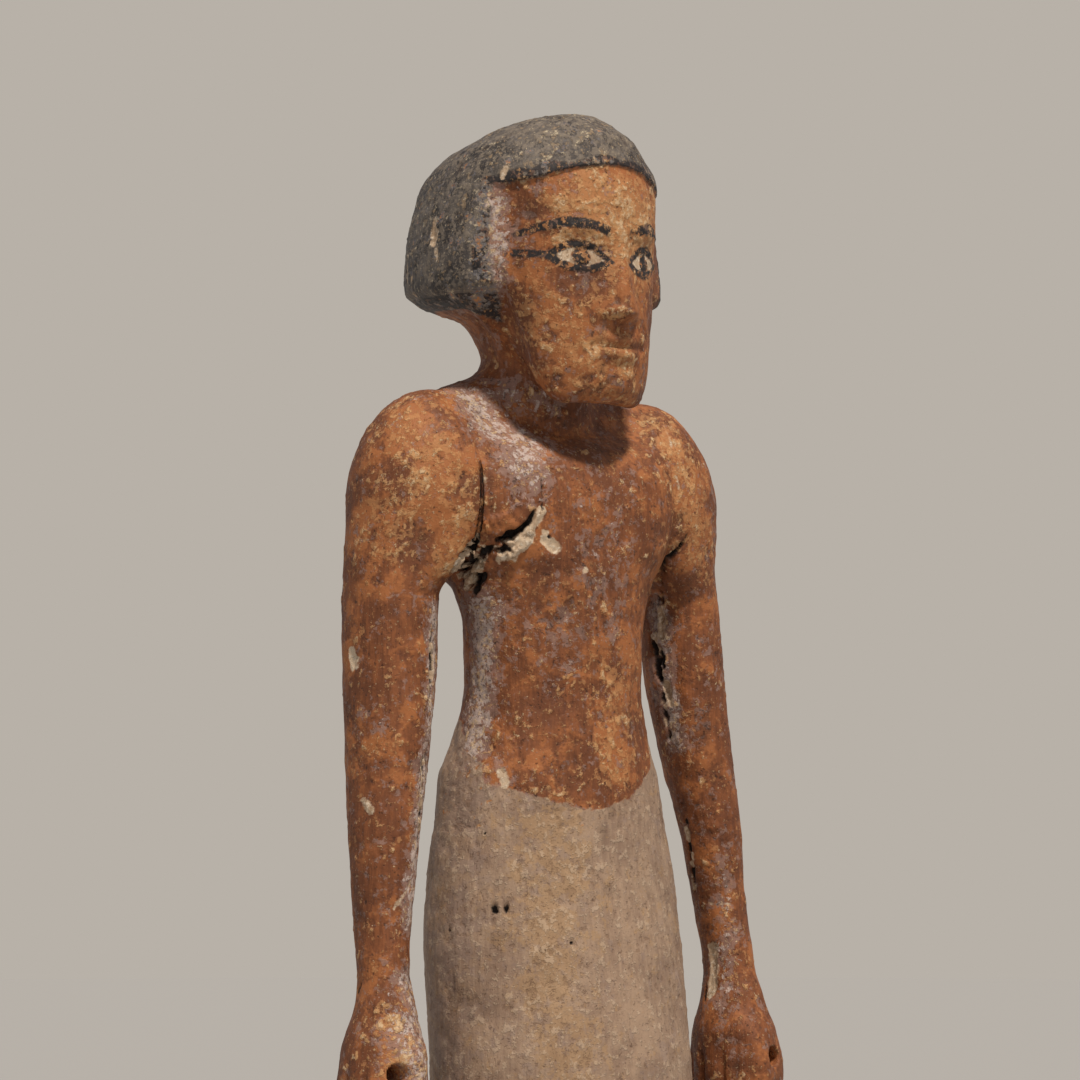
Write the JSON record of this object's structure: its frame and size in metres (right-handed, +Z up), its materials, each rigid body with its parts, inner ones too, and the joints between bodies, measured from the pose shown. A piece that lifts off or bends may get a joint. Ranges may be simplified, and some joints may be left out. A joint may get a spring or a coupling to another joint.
{
  "type": "wooden tomb figure",
  "caption": "Painted wooden tomb figure of a standing man in a short dark wig and a long pale kilt, with separately carved arms, on a low oblong plinth.",
  "frame": {"origin": "middle of the plinth's underside", "axes": "+Z up along the standing figure; the figure faces -Y, so its right arm is at -X"},
  "size_m": [0.1126, 0.1386, 0.3623],
  "materials": {
    "body_paint": "carved wood under worn matt paint: red-brown skin, cream kilt and dark wig, with pale plaster showing in chips",
    "arm_paint": "carved wood under worn matt red-brown paint, with pale plaster showing in chips",
    "plinth_wood": "old bare wood with dust and worn edges"
  },
  "bodies": {
    "root": {"body": "body_paint", "right_arm": "arm_paint", "left_arm": "arm_paint", "plinth": "plinth_wood"}
  },
  "joints": []
}
